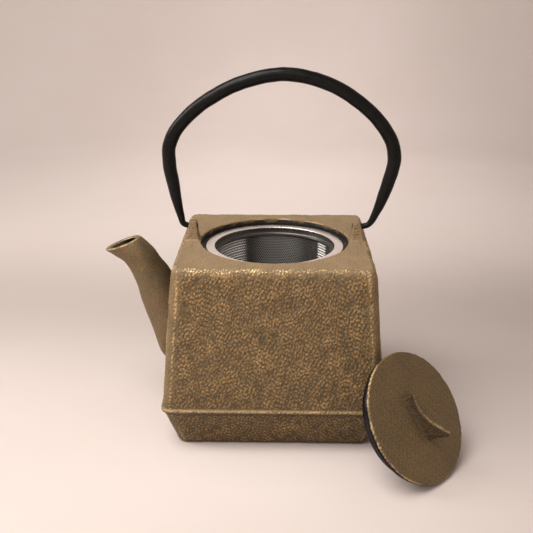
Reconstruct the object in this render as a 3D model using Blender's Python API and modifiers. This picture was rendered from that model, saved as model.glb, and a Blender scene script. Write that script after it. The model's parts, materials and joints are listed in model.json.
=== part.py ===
"""Square cast iron teapot with a swinging bail handle, an infuser basket and a loose lid.

Frame: metres, +Z up. The origin is the centre of the pot's base on the table. The spout
points along -X, the handle's hinge axis runs along X through the two lugs, and the lid
leans against the pot's +X, -Y corner.
"""
import math

import bmesh
import bpy
from mathutils import Matrix, Vector

# ---- driving dimensions (metres) ----------------------------------------------------
BASE_HALF = 0.0514          # half the width of the pot at the table
RIDGE_HALF = 0.0588         # half the width at the ridge, the widest level
TOP_HALF = 0.0527           # half the width at the top face
RIDGE_Z = 0.0229
TOP_Z = 0.1003
CORNER_R = 0.005            # plan radius of the four upright edges
TOP_EDGE_R = 0.0024         # rounding between top face and sides
BASE_EDGE_R = 0.003
BEAD_R = 0.0013             # half-round bead that runs round the ridge
BEAD_SINK = 0.0002          # how far the bead's centre lies inside the ridge line
BEAD_STEP = math.radians(27)                        # turn between the bead's outline points
WALL = 0.0038               # cast wall thickness
ROOF = 0.0070               # thickness of the top plate round the opening
CAVITY_FILLET = 0.004       # run of the cavity's rounded edges at floor and roof
FILLET_MIDDLE = 0.3         # share of that run left at the rounding's middle point
FILLET_CORNER = (0.2, 0.7)  # and what the plan radius loses there and at its end, in the same run
CAVITY_CORNER_R = 0.010     # plan radius of the cavity's upright edges

MOUTH_R = 0.0415            # opening in the top face
SEAT_DEPTH = 0.0042         # depth of the infuser's seat below the top face
THROAT_R = 0.0362           # hole below the seat, which the basket hangs through

STRAINER_HOLE_R = 0.0022    # holes that let tea through the wall into the spout
STRAINER_PITCH = 0.0080
STRAINER_REACH = 0.009      # holes further than this from the middle are left out
STRAINER_CUT = 0.024        # length of their cutters

GAP = 0.0003                # clearance kept between neighbouring pieces
CUT_OVER = 0.010            # how far a cutter runs past the face it cuts

HINGE_Z = 0.1084            # height of the lug holes
LUG_HOLE_R = 0.0021
LUG_HEIGHT = 0.0108
LUG_FOOT = (0.0424, 0.0500, 0.0044)                 # inner x, outer x and half length at the top face
LUG_CREST = (0.0436, 0.0478, 0.0022)                # the same at the crest
LUG_BACK = 0.0006           # how far the lugs sit behind the pot's middle
LUG_EDGE_R = 0.0014
STUB_R = 0.0016             # radius of the handle's hooked ends
ARM_R = 0.0037              # radius of the handle along the bow

FLANGE_R = 0.0387           # infuser rim
COLLAR_R = 0.0347           # outside of the plain collar below the rim
SLEEVE_R = 0.0329           # outside of the mesh sleeve
SHEET = 0.0005              # steel sheet
RIM = 0.0010                # thickness of the rolled rim
COLLAR_DEPTH = 0.0034       # collar below the rim's underside
STEP = 0.0012               # inward step at the collar's foot, which the lid rests on
BASKET_DEPTH = 0.056
HEM = 0.0040                # height of the ring round the basket's foot
HEM_LIP = 0.0032            # how far the ring reaches in under the mesh base
EDGE_R = 0.0003             # softened edges of the turned pieces

LID_R = 0.0340              # lid plate
LID_PLATE = 0.0015          # plate thickness at the edge
LID_BAND_R = 0.0335         # enamelled band below the plate
LID_BAND = 0.0040           # depth of the band's lower edge below the front face
SPIGOT_R = 0.0296           # ring that drops into the infuser
SPIGOT_DEPTH = 0.0096
SPIGOT_WALL = 0.0034
SPIGOT_EDGE = 0.0006        # bevel round its end
LID_CENTRE = Vector((0.0733, -0.0743, 0.0302))      # centre of the lid's front face
LID_TURN = math.radians(-41.2)                      # compass direction the lid faces
LID_LEAN = math.radians(33.6)                       # how far it leans back


# ---- scene helpers -------------------------------------------------------------------
def clear_scene():
    for old in list(bpy.data.objects):
        bpy.data.objects.remove(old, do_unlink=True)


def collection(name):
    group = bpy.data.collections.new(name)
    bpy.context.scene.collection.children.link(group)
    return group


def material(name, colour, roughness, metallic):
    mat = bpy.data.materials.new(name)
    mat.use_nodes = True
    shader = mat.node_tree.nodes["Principled BSDF"]
    shader.inputs["Base Color"].default_value = (*colour, 1.0)
    shader.inputs["Roughness"].default_value = roughness
    shader.inputs["Metallic"].default_value = metallic
    return mat


def add_object(name, mesh, group, mat=None):
    obj = bpy.data.objects.new(name, mesh)
    group.objects.link(obj)
    if mat:
        mesh.materials.append(mat)
    return obj


def smooth(obj, angle=30.0):
    obj.data.shade_smooth()
    obj.data.set_sharp_from_angle(angle=math.radians(angle))


def mesh_from(bm, name):
    bmesh.ops.recalc_face_normals(bm, faces=bm.faces)
    mesh = bpy.data.meshes.new(name)
    bm.to_mesh(mesh)
    bm.free()
    return mesh


def hide_cutter(obj):
    obj.hide_render = True
    obj.display_type = "WIRE"


def cut(obj, tool):
    mod = obj.modifiers.new(tool.name, "BOOLEAN")
    mod.operation = "DIFFERENCE"
    mod.object = tool
    mod.solver = "EXACT"


def cylinder(name, radius, low, high, group, segments=64):
    """Upright cylinder cutter from z = low to z = high."""
    bm = bmesh.new()
    bmesh.ops.create_cone(bm, cap_ends=True, segments=segments,
                          radius1=radius, radius2=radius, depth=high - low)
    bmesh.ops.translate(bm, verts=bm.verts, vec=(0.0, 0.0, (low + high) / 2))
    obj = add_object(name, mesh_from(bm, name), group)
    hide_cutter(obj)
    return obj


def turned(name, profile, group, mat, segments=72):
    """Solid of revolution about Z from a (radius, z) outline, closed unless it ends on Z."""
    mesh = bpy.data.meshes.new(name)
    points = [(radius, 0.0, height) for radius, height in profile]
    edges = [(i, i + 1) for i in range(len(points) - 1)]
    if profile[0][0] > 0.0:
        edges.append((len(points) - 1, 0))
    mesh.from_pydata(points, edges, [])
    obj = add_object(name, mesh, group, mat)
    screw = obj.modifiers.new("turn", "SCREW")
    screw.steps = segments
    screw.render_steps = segments
    screw.use_merge_vertices = True
    screw.merge_threshold = 0.00001
    screw.use_smooth_shade = True
    return obj


# ---- pot body ------------------------------------------------------------------------
def half_width(z):
    """Half the outer width of the pot's flat walls at height z."""
    if z >= RIDGE_Z:
        return RIDGE_HALF + (TOP_HALF - RIDGE_HALF) * (z - RIDGE_Z) / (TOP_Z - RIDGE_Z)
    return BASE_HALF + (RIDGE_HALF - BASE_HALF) * z / RIDGE_Z


def quarter_arc(radius, steps):
    """(inset, drop) pairs of a rounded edge, from the flat wall to the flat end."""
    turns = [math.pi / 2 * i / steps for i in range(steps + 1)]
    return [(radius * (1 - math.cos(t)), radius * (1 - math.sin(t))) for t in turns]


def outer_levels():
    """(height, half width, corner radius) of each level of the outside, bottom to top."""
    levels = [(drop, BASE_HALF - inset, CORNER_R - 0.5 * inset)
              for inset, drop in reversed(quarter_arc(BASE_EDGE_R, 3))]
    for step in range(-3, 4):
        out = BEAD_R * math.cos(step * BEAD_STEP) - BEAD_SINK
        height = RIDGE_Z + BEAD_R * math.sin(step * BEAD_STEP)
        levels.append((height, RIDGE_HALF + out, CORNER_R + out))
    levels += [(TOP_Z - drop, TOP_HALF - inset, CORNER_R - inset)
               for inset, drop in quarter_arc(TOP_EDGE_R, 3)]
    return levels


def inner_levels():
    """The same for the cavity, with its edges at floor and roof cut twice to look rounded."""
    floor, roof, run = WALL, TOP_Z - ROOF, CAVITY_FILLET
    low, high = half_width(floor) - WALL, half_width(roof) - WALL
    corner, part = CAVITY_CORNER_R, FILLET_MIDDLE * run
    middle, end = (corner - loss * run for loss in FILLET_CORNER)
    return [(floor, low - run, end),
            (floor + part, low - part, middle),
            (floor + run, half_width(floor + run) - WALL, corner),
            (RIDGE_Z, RIDGE_HALF - WALL, corner),
            (roof - run, half_width(roof - run) - WALL, corner),
            (roof - part, high - part, middle),
            (roof, high - run, end)]


def rounded_square(half, radius, height, steps=5):
    """Corner points of a square outline with rounded corners, anticlockwise from +X."""
    points = []
    for corner in range(4):
        middle = math.pi / 4 + corner * math.pi / 2
        centre = Vector((math.copysign(half - radius, math.cos(middle)),
                         math.copysign(half - radius, math.sin(middle)), height))
        for step in range(steps + 1):
            angle = middle - math.pi / 4 + math.pi / 2 * step / steps
            points.append(centre + radius * Vector((math.cos(angle), math.sin(angle), 0.0)))
    return points


def loft(name, rings, closed):
    """Skin through rings of equal length, outside out when each runs anticlockwise."""
    bm = bmesh.new()
    rows = [[bm.verts.new(point) for point in ring] for ring in rings]
    count = len(rows[0])
    for lower, upper in zip(rows, rows[1:]):
        for i in range(count):
            j = (i + 1) % count
            bm.faces.new((lower[i], lower[j], upper[j], upper[i]))
    if closed:
        bm.faces.new(list(reversed(rows[0])))
        bm.faces.new(rows[-1])
    mesh = bpy.data.meshes.new(name)
    bm.to_mesh(mesh)
    bm.free()
    return mesh


def square_tower(name, levels):
    return loft(name, [rounded_square(half, radius, z) for z, half, radius in levels], True)


def strainer_cutter(group):
    """Grid of round bores through the spout-side wall, joined as one cutter."""
    bm = bmesh.new()
    middle = 0.5 * (SPOUT[0][0][1] + SPOUT[0][1][1])
    for row in range(-2, 3):
        for column in range(-1, 2):
            offset = 0.5 * STRAINER_PITCH * (row % 2)
            if abs(column * STRAINER_PITCH + offset) > STRAINER_REACH:
                continue
            place = Matrix.Translation((-RIDGE_HALF, column * STRAINER_PITCH + offset,
                                        middle + row * STRAINER_PITCH))
            bmesh.ops.create_cone(bm, cap_ends=True, segments=12, radius1=STRAINER_HOLE_R,
                                  radius2=STRAINER_HOLE_R, depth=STRAINER_CUT,
                                  matrix=place @ Matrix.Rotation(math.pi / 2, 4, "Y"))
    obj = add_object("cut_strainer", mesh_from(bm, "cut_strainer"), group)
    hide_cutter(obj)
    return obj


def pot_body(parts, cutters):
    iron = material("bronze_cast_iron", (0.17, 0.115, 0.055), 0.55, 0.35)
    body = add_object("pot_body", square_tower("pot_body", outer_levels()), parts, iron)
    cavity = add_object("cut_cavity", square_tower("cut_cavity", inner_levels()), cutters)
    hide_cutter(cavity)
    cut(body, cavity)
    cut(body, cylinder("cut_throat", THROAT_R, TOP_Z - 2 * CUT_OVER, TOP_Z + CUT_OVER, cutters))
    cut(body, cylinder("cut_seat", MOUTH_R, TOP_Z - SEAT_DEPTH, TOP_Z + CUT_OVER, cutters, 80))
    cut(body, strainer_cutter(cutters))
    smooth(body)
    return body


# ---- spout ---------------------------------------------------------------------------
# Each section is an ellipse across the spout, given by the (x, z) of its lowest and
# highest outline points and by its half width. The first lies inside the pot's wall.
SPOUT = [((-0.0560, 0.0240), (-0.0520, 0.0810), 0.0150),
         ((-0.0652, 0.0300), (-0.0575, 0.0824), 0.0140),
         ((-0.0709, 0.0470), (-0.0612, 0.0848), 0.0123),
         ((-0.0758, 0.0620), (-0.0652, 0.0892), 0.0108),
         ((-0.0797, 0.0765), (-0.0684, 0.0940), 0.0097),
         ((-0.0846, 0.0860), (-0.0714, 0.0974), 0.0090),
         ((-0.0905, 0.0906), (-0.0738, 0.0997), 0.0085),
         ((-0.0957, 0.0938), (-0.0758, 0.1013), 0.0082)]
SPOUT_WALL = 0.0026
SPOUT_SIDES = 28


def spout_ring(section):
    low, high, half = section
    middle = Vector((low[0] + high[0], 0.0, low[1] + high[1])) / 2
    along = Vector((high[0] - low[0], 0.0, high[1] - low[1])) / 2
    across = Vector((0.0, half, 0.0))
    turns = [2 * math.pi * i / SPOUT_SIDES for i in range(SPOUT_SIDES)]
    return [middle + along * math.cos(t) + across * math.sin(t) for t in turns]


def side_slab(name, outer, group):
    """Wedge that holds everything on the pot's side of a plane `outer` off its wall."""
    bm = bmesh.new()
    bmesh.ops.create_cube(bm, size=0.2)
    tilt = math.atan2(RIDGE_HALF - TOP_HALF, TOP_Z - RIDGE_Z)
    bmesh.ops.translate(bm, verts=bm.verts, vec=(0.1, 0.0, 0.0))
    bmesh.ops.rotate(bm, verts=bm.verts, matrix=Matrix.Rotation(tilt, 3, "Y"))
    shift = outer / math.cos(tilt)
    bmesh.ops.translate(bm, verts=bm.verts, vec=(-RIDGE_HALF - shift, 0.0, RIDGE_Z))
    obj = add_object(name, mesh_from(bm, name), group)
    hide_cutter(obj)
    return obj


def spout(parts, cutters):
    skin = loft("spout", [spout_ring(section) for section in SPOUT], False)
    mat = material("bronze_spout", (0.17, 0.115, 0.055), 0.5, 0.35)
    obj = add_object("spout", skin, parts, mat)
    shell = obj.modifiers.new("wall", "SOLIDIFY")
    shell.thickness = SPOUT_WALL
    shell.offset = -1.0
    cut(obj, side_slab("cut_spout_base", GAP, cutters))
    smooth(obj, 50)
    return obj


# ---- lugs ----------------------------------------------------------------------------
def lug(name, side, parts, cutters):
    """Tapered ear on the top face with the handle's hole along X."""
    bm = bmesh.new()
    bmesh.ops.create_cube(bm, size=2.0)
    for vert in bm.verts:
        inner, outer, half_length = LUG_CREST if vert.co.z > 0 else LUG_FOOT
        height = LUG_HEIGHT if vert.co.z > 0 else GAP
        x = outer if vert.co.x > 0 else inner
        vert.co = (side * x, math.copysign(half_length, vert.co.y) + LUG_BACK, TOP_Z + height)
    bmesh.ops.recalc_face_normals(bm, faces=bm.faces)
    upper = [e for e in bm.edges if any(v.co.z > TOP_Z + LUG_HEIGHT / 2 for v in e.verts)]
    bmesh.ops.bevel(bm, geom=upper, offset=LUG_EDGE_R, segments=3, profile=0.5, affect="EDGES")
    mat = material("bronze_" + name, (0.19, 0.13, 0.065), 0.55, 0.35)
    obj = add_object(name, mesh_from(bm, name), parts, mat)
    hole = cylinder("cut_" + name, LUG_HOLE_R, -CUT_OVER, CUT_OVER, cutters, 20)
    hole.matrix_world = (Matrix.Translation((side * LUG_FOOT[0], 0.0, HINGE_Z))
                         @ Matrix.Rotation(math.pi / 2, 4, "Y"))
    cut(obj, hole)
    smooth(obj)
    return obj


# ---- handle --------------------------------------------------------------------------
# (x, height above the hinge, radius) along the bow. The bow sits a little off centre,
# because its hooked ends are loose in the lugs.
BOW = [(-0.0448, 0.0000, STUB_R), (-0.0486, 0.0000, STUB_R), (-0.0513, 0.0013, 0.0017),
       (-0.0526, 0.0060, 0.0021), (-0.0546, 0.0150, 0.0029), (-0.0560, 0.0235, 0.0035),
       (-0.0577, 0.0340, ARM_R), (-0.0574, 0.0450, ARM_R), (-0.0517, 0.0559, ARM_R),
       (-0.0380, 0.0683, ARM_R), (-0.0180, 0.0787, ARM_R), (0.0057, 0.0832, ARM_R),
       (0.0295, 0.0777, ARM_R), (0.0495, 0.0649, ARM_R), (0.0615, 0.0505, ARM_R),
       (0.0649, 0.0384, ARM_R), (0.0626, 0.0265, 0.0036), (0.0589, 0.0148, 0.0030),
       (0.0558, 0.0070, 0.0022), (0.0528, 0.0014, 0.0017), (0.0492, 0.0000, STUB_R),
       (0.0448, 0.0000, STUB_R)]


def handle(parts):
    """Bail handle: one tapered steel bow whose hooked ends turn in the lugs."""
    hinge = bpy.data.objects.new("handle_hinge", None)
    hinge.location = (0.0, 0.0, HINGE_Z)
    parts.objects.link(hinge)
    curve = bpy.data.curves.new("bow_path", "CURVE")
    curve.dimensions = "3D"
    curve.resolution_u = 3
    curve.bevel_depth = 1.0
    curve.bevel_resolution = 3
    curve.use_fill_caps = True
    spline = curve.splines.new("BEZIER")
    spline.bezier_points.add(len(BOW) - 1)
    for point, (x, height, radius) in zip(spline.bezier_points, BOW):
        point.co = (x, 0.0, height)
        point.radius = radius
        point.handle_left_type = "AUTO"
        point.handle_right_type = "AUTO"
    guide = bpy.data.objects.new("bow_path", curve)
    parts.objects.link(guide)
    bpy.context.view_layer.update()
    ready = guide.evaluated_get(bpy.context.evaluated_depsgraph_get())
    mesh = bpy.data.meshes.new_from_object(ready)
    bm = bmesh.new()
    bm.from_mesh(mesh)
    bmesh.ops.remove_doubles(bm, verts=bm.verts, dist=0.00001)
    bmesh.ops.recalc_face_normals(bm, faces=bm.faces)
    bm.to_mesh(mesh)
    bm.free()
    bpy.data.objects.remove(guide, do_unlink=True)
    obj = add_object("handle_bow", mesh, parts,
                     material("satin_black", (0.012, 0.012, 0.013), 0.35, 0.2))
    obj.parent = hinge
    smooth(obj, 60)
    return obj


# ---- infuser -------------------------------------------------------------------------
# Heights are measured from the underside of the rim, which rests on the seat.
def infuser(parts):
    """Stainless basket: rim with collar, mesh sleeve, hem ring and mesh base."""
    steel = material("polished_steel", (0.72, 0.70, 0.68), 0.15, 1.0)
    mesh_steel = material("mesh_steel", (0.42, 0.41, 0.40), 0.35, 1.0)
    lift = bpy.data.objects.new("infuser_lift", None)
    lift.location = (0.0, 0.0, TOP_Z - SEAT_DEPTH + GAP)
    parts.objects.link(lift)
    collar_r = COLLAR_R - SHEET
    step_r = SLEEVE_R - STEP
    rim = turned("infuser_rim", [
        (collar_r, RIM - EDGE_R), (collar_r + EDGE_R, RIM), (FLANGE_R - EDGE_R, RIM),
        (FLANGE_R, RIM - EDGE_R), (FLANGE_R, 0.0), (COLLAR_R, 0.0), (COLLAR_R, -COLLAR_DEPTH),
        (step_r, -COLLAR_DEPTH), (step_r, SHEET - COLLAR_DEPTH), (collar_r, SHEET - COLLAR_DEPTH)],
        parts, steel)
    sleeve_r = SLEEVE_R - SHEET
    foot = -BASKET_DEPTH
    sleeve = turned("infuser_mesh_sleeve", [
        (sleeve_r, -COLLAR_DEPTH - GAP), (SLEEVE_R, -COLLAR_DEPTH - GAP),
        (SLEEVE_R, foot + HEM), (sleeve_r, foot + HEM)], parts, mesh_steel)
    hem = turned("infuser_hem_ring", [
        (sleeve_r, foot + HEM - GAP), (SLEEVE_R, foot + HEM - GAP), (SLEEVE_R, foot + SHEET),
        (SLEEVE_R - SHEET, foot), (SLEEVE_R - HEM_LIP, foot), (SLEEVE_R - HEM_LIP, foot + SHEET),
        (sleeve_r - SHEET, foot + SHEET), (sleeve_r, foot + 2 * SHEET)], parts, steel)
    base_r = sleeve_r - SHEET - GAP
    base_z = foot + SHEET + GAP
    base = turned("infuser_mesh_base", [
        (0.0, base_z + SHEET), (base_r, base_z + SHEET), (base_r, base_z), (0.0, base_z)],
        parts, mesh_steel)
    for piece in (rim, sleeve, hem, base):
        piece.parent = lift


# ---- lid -----------------------------------------------------------------------------
# Knob outline in its own plane: (distance along the fin, height above the lid).
KNOB = [(-0.0120, 0.0000), (-0.0124, 0.0050), (-0.0094, 0.0041), (-0.0061, 0.0034),
        (-0.0027, 0.0034), (0.0012, 0.0043), (0.0042, 0.0057), (0.0071, 0.0076),
        (0.0098, 0.0100), (0.0114, 0.0119), (0.0131, 0.0127), (0.0141, 0.0118),
        (0.0140, 0.0090), (0.0131, 0.0040), (0.0123, 0.0000)]
KNOB_BASE_HALF = 0.0026
KNOB_RIDGE_HALF = 0.0008
KNOB_TURN = math.radians(-80.6)     # the fin's direction on the lid, from its level line


def lid_pose():
    """Lid frame: X level across the lid, Y up its slope, Z out of its front face."""
    facing = Vector((math.cos(LID_TURN) * math.cos(LID_LEAN),
                     math.sin(LID_TURN) * math.cos(LID_LEAN), math.sin(LID_LEAN)))
    level = Vector((-math.sin(LID_TURN), math.cos(LID_TURN), 0.0))
    slope = facing.cross(level)
    turn = Matrix((level, slope, facing)).transposed().to_4x4()
    return Matrix.Translation(LID_CENTRE) @ turn


def lid_knob(parts, pose):
    """Saddle-shaped fin, thick at its foot and thin along its ridge."""
    bm = bmesh.new()
    tallest = max(height for _, height in KNOB)
    sides = []
    for sign in (-1.0, 1.0):
        ring = []
        for along, height in KNOB:
            taper = height / tallest
            half = KNOB_BASE_HALF + (KNOB_RIDGE_HALF - KNOB_BASE_HALF) * math.sqrt(taper)
            ring.append(bm.verts.new((along, sign * half, height + GAP)))
        sides.append(ring)
    count = len(KNOB)
    for i in range(count):
        j = (i + 1) % count
        bm.faces.new((sides[0][i], sides[0][j], sides[1][j], sides[1][i]))
    bm.faces.new(list(reversed(sides[0])))
    bm.faces.new(sides[1])
    bmesh.ops.triangulate(bm, faces=[f for f in bm.faces if len(f.verts) > 4])
    mat = material("bronze_knob", (0.15, 0.10, 0.05), 0.5, 0.35)
    obj = add_object("lid_knob", mesh_from(bm, "lid_knob"), parts, mat)
    obj.matrix_world = pose @ Matrix.Rotation(KNOB_TURN, 4, "Z")
    smooth(obj, 40)
    return obj


def lid(parts):
    pose = lid_pose()
    bronze = material("bronze_lid", (0.14, 0.095, 0.05), 0.5, 0.35)
    enamel = material("black_enamel", (0.012, 0.012, 0.013), 0.3, 0.0)
    plate = turned("lid_plate", [
        (0.0, 0.0), (LID_R - 3 * EDGE_R, 0.0), (LID_R - EDGE_R, -EDGE_R), (LID_R, -3 * EDGE_R),
        (LID_R - EDGE_R, EDGE_R - LID_PLATE), (LID_R - 3 * EDGE_R, -LID_PLATE), (0.0, -LID_PLATE)],
        parts, bronze)
    top = -LID_PLATE - GAP
    bore = SPIGOT_R - SPIGOT_WALL
    ring = turned("lid_locating_ring", [
        (bore, top), (LID_BAND_R, top), (LID_BAND_R, -LID_BAND), (SPIGOT_R, -LID_BAND),
        (SPIGOT_R, SPIGOT_EDGE - SPIGOT_DEPTH), (SPIGOT_R - SPIGOT_EDGE, -SPIGOT_DEPTH),
        (bore, -SPIGOT_DEPTH)], parts, enamel)
    plate.matrix_world = pose
    ring.matrix_world = pose
    lid_knob(parts, pose)


def main():
    clear_scene()
    parts = collection("cast_iron_teapot")
    cutters = collection("cutters")
    pot_body(parts, cutters)
    spout(parts, cutters)
    lug("lug_left", -1, parts, cutters)
    lug("lug_right", 1, parts, cutters)
    handle(parts)
    infuser(parts)
    lid(parts)


main()
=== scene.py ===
"""Looks of the square cast iron teapot: cast skin, bail handle, mesh infuser, leaning lid, studio.

Metres, +Z up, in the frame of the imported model. The cast surfaces are grids of rows, raised by
noise computed per point and coloured by masks kept on the points. The infuser's mesh is a
sheet of hexagonal cells.
"""

import json
import math
from types import SimpleNamespace

import bmesh
import bpy
import numpy as np
from mathutils import Matrix, Vector


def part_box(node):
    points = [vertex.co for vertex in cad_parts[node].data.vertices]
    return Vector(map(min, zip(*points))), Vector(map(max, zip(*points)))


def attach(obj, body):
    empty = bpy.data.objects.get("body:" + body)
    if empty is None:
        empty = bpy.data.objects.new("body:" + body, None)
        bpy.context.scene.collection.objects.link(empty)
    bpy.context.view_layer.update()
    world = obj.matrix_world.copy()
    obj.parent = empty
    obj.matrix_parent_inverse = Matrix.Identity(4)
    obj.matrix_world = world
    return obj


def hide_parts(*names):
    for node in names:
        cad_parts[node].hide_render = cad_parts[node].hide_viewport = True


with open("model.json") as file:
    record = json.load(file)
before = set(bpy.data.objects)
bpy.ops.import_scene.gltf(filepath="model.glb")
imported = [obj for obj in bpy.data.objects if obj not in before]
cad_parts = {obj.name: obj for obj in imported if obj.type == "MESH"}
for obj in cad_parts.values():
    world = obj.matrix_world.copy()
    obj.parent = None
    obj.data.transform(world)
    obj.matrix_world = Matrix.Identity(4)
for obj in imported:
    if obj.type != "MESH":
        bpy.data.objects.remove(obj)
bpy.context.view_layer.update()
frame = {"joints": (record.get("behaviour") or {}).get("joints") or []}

MM = 0.001

# ---- pot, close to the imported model's sizes ----
TOP_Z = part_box("pot_body")[1].z
RIDGE_Z = 22.9 * MM
BASE_HALF = 51.4 * MM
RIDGE_HALF = 58.8 * MM
TOP_HALF = 52.7 * MM
CORNER_R = 4.9 * MM          # of the four upright edges
TOP_EDGE_R = 2.4 * MM
BASE_EDGE_R = 1.6 * MM
BEAD_R = 1.3 * MM            # round ridge above the foot
BEAD_SINK = 0.2 * MM
WALL = 3.8 * MM
ROOF = 7.0 * MM              # thickness of the top round the throat
MOUTH_R = 41.5 * MM
SEAT_DEPTH = 4.2 * MM
THROAT_R = 36.2 * MM
LIP_R = 0.5 * MM
CAVITY_R = 4.0 * MM          # rounding of the cavity's ceiling and floor
WALL_STEP = 0.5 * MM         # height of a grid row on the walls

SIDE_COLUMNS = 206          # grid columns along each flat side of the pot
CORNER_COLUMNS = 14         # and round each upright edge
AROUND = 4 * (SIDE_COLUMNS + CORNER_COLUMNS)

PEBBLE_LENGTH = 1.72 * MM   # spacing of the raised strokes on the walls
PEBBLE_HEIGHT = 0.26 * MM
GRAIN_LENGTH = 1.2 * MM     # spacing of the fine sand grain elsewhere
GRAIN_HEIGHT = 0.06 * MM
FLAKE_HEIGHT = 0.09 * MM    # roughness of the worn edges
WOBBLE_HEIGHT = 0.10 * MM   # slow unevenness of the casting
SHOULDER_SINK = 0.45 * MM   # keeps the lowered handle's arms clear of the upper edges


# ---- numbers ----
def smoothstep(low, high, value):
    """0 below low, 1 above high, smooth between them; low may be the larger one."""
    t = np.clip((value - low) / (high - low), 0.0, 1.0)
    return t * t * (3.0 - 2.0 * t)


def bump(centre, width, value):
    """1 at the centre, fading to 0 a few widths away."""
    return np.exp(-((value - centre) / width) ** 2)


def ripples(points, wavelength, seed, count=40):
    """Noise of one scale: plane waves of about one length in random directions."""
    rng = np.random.default_rng(seed)
    total = np.zeros(points.shape[:-1])
    for _ in range(count):
        direction = rng.normal(size=points.shape[-1])
        direction /= np.linalg.norm(direction)
        length = wavelength * rng.uniform(0.8, 1.25)
        total += np.cos(points @ direction * (2 * math.pi / length) + rng.uniform(0, 2 * math.pi))
    return total * math.sqrt(2.0 / count)


def wall_ripples(turn, height, girth, wavelength, seed, count=56):
    """The same on a wall that closes on itself: turn runs from 0 to 1 round it."""
    rng = np.random.default_rng(seed)
    total = np.zeros(np.broadcast(turn, height).shape)
    for _ in range(count):
        angle = rng.uniform(0, 2 * math.pi)
        length = wavelength * rng.uniform(0.70, 1.55)
        cycles = round(girth * math.cos(angle) / length)
        phase = rng.uniform(0, 2 * math.pi)
        total += np.cos(2 * math.pi * (cycles * turn + height * math.sin(angle) / length) + phase)
    return total * math.sqrt(2.0 / count)


def grid_normals(points):
    """Unit normals of a (row, column, xyz) grid that closes on itself along its columns."""
    along = np.roll(points, -1, axis=1) - np.roll(points, 1, axis=1)
    up = np.gradient(points, axis=0)
    normal = np.cross(along, up)
    size = np.linalg.norm(normal, axis=-1, keepdims=True)
    return normal / np.maximum(size, 1e-12)


# ---- mesh helpers ----
def mesh_object(name, points, faces, masks=None):
    """Object from points and faces, with one float attribute on the points for each mask."""
    mesh = bpy.data.meshes.new(name)
    mesh.from_pydata(points.tolist(), [], faces)
    for label, values in (masks or {}).items():
        layer = mesh.attributes.new(label, "FLOAT", "POINT")
        layer.data.foreach_set("value", np.ascontiguousarray(values, dtype=np.float32).ravel())
    mesh.update()
    mesh.shade_smooth()
    obj = bpy.data.objects.new(name, mesh)
    bpy.context.scene.collection.objects.link(obj)
    return obj


def grid_faces(rows, columns, joined_ends):
    """Quads of a grid that closes along its columns, and along its rows if joined_ends."""
    index = np.arange(rows * columns).reshape(rows, columns)
    upper = np.roll(index, -1, axis=0) if joined_ends else index[1:]
    lower = index if joined_ends else index[:-1]
    quads = np.stack([lower, np.roll(lower, -1, axis=1), np.roll(upper, -1, axis=1), upper], axis=-1)
    faces = quads.reshape(-1, 4).tolist()
    if not joined_ends:
        faces += [index[0, ::-1].tolist(), index[-1].tolist()]
    return faces


def skin(name, points, masks=None, joined_ends=False):
    """Closed piece from a grid whose first and last rows are capped, or joined to each other."""
    rows, columns = points.shape[:2]
    return mesh_object(name, points.reshape(-1, 3), grid_faces(rows, columns, joined_ends), masks)


def arc(centre, radius, start, end, steps):
    """Points of a plane arc, angles in degrees."""
    angles = np.radians(np.linspace(start, end, steps))
    return [(centre[0] + radius * math.cos(a), centre[1] + radius * math.sin(a)) for a in angles]


def spaced(start, end, step):
    """Points of a straight line from start up to but not including end."""
    start, end = np.array(start), np.array(end)
    count = max(2, round(float(np.linalg.norm(end - start)) / step) + 1)
    return [tuple(p) for p in np.linspace(start, end, count)[:-1]]


def revolved(profile, columns):
    """Grid of points of a (radius, z) outline turned about Z."""
    outline = np.array(profile)
    angle = np.linspace(0, 2 * math.pi, columns, endpoint=False)
    points = np.empty((len(outline), columns, 3))
    points[..., 0] = outline[:, :1] * np.cos(angle)
    points[..., 1] = outline[:, :1] * np.sin(angle)
    points[..., 2] = outline[:, 1:]
    return points


def turned(name, profile, columns, masks=None):
    """Piece of revolution about Z from a closed (radius, z) outline."""
    return skin(name, revolved(profile, columns), masks, joined_ends=True)


def edit(obj, change):
    """Runs a change of its bmesh on an object."""
    bm = bmesh.new()
    bm.from_mesh(obj.data)
    change(bm)
    bm.to_mesh(obj.data)
    bm.free()


def weld(obj):
    """Joins points that lie on each other, as along the seam of a rolled sheet."""
    edit(obj, lambda bm: bmesh.ops.remove_doubles(bm, verts=bm.verts, dist=0.02 * MM))


def flip(obj):
    """Makes the faces of a closed mesh point outwards."""
    edit(obj, lambda bm: bmesh.ops.recalc_face_normals(bm, faces=bm.faces))


def bake_modifiers(obj):
    """Turns the modifiers' result into the object's own mesh."""
    bpy.context.view_layer.update()
    ready = obj.evaluated_get(bpy.context.evaluated_depsgraph_get())
    mesh = bpy.data.meshes.new_from_object(ready)
    obj.modifiers.clear()
    obj.data = mesh


def sharpen(obj, angle):
    """Keeps the edges crisp where faces meet at more than angle degrees."""
    obj.data.set_sharp_from_angle(angle=math.radians(angle))


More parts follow.
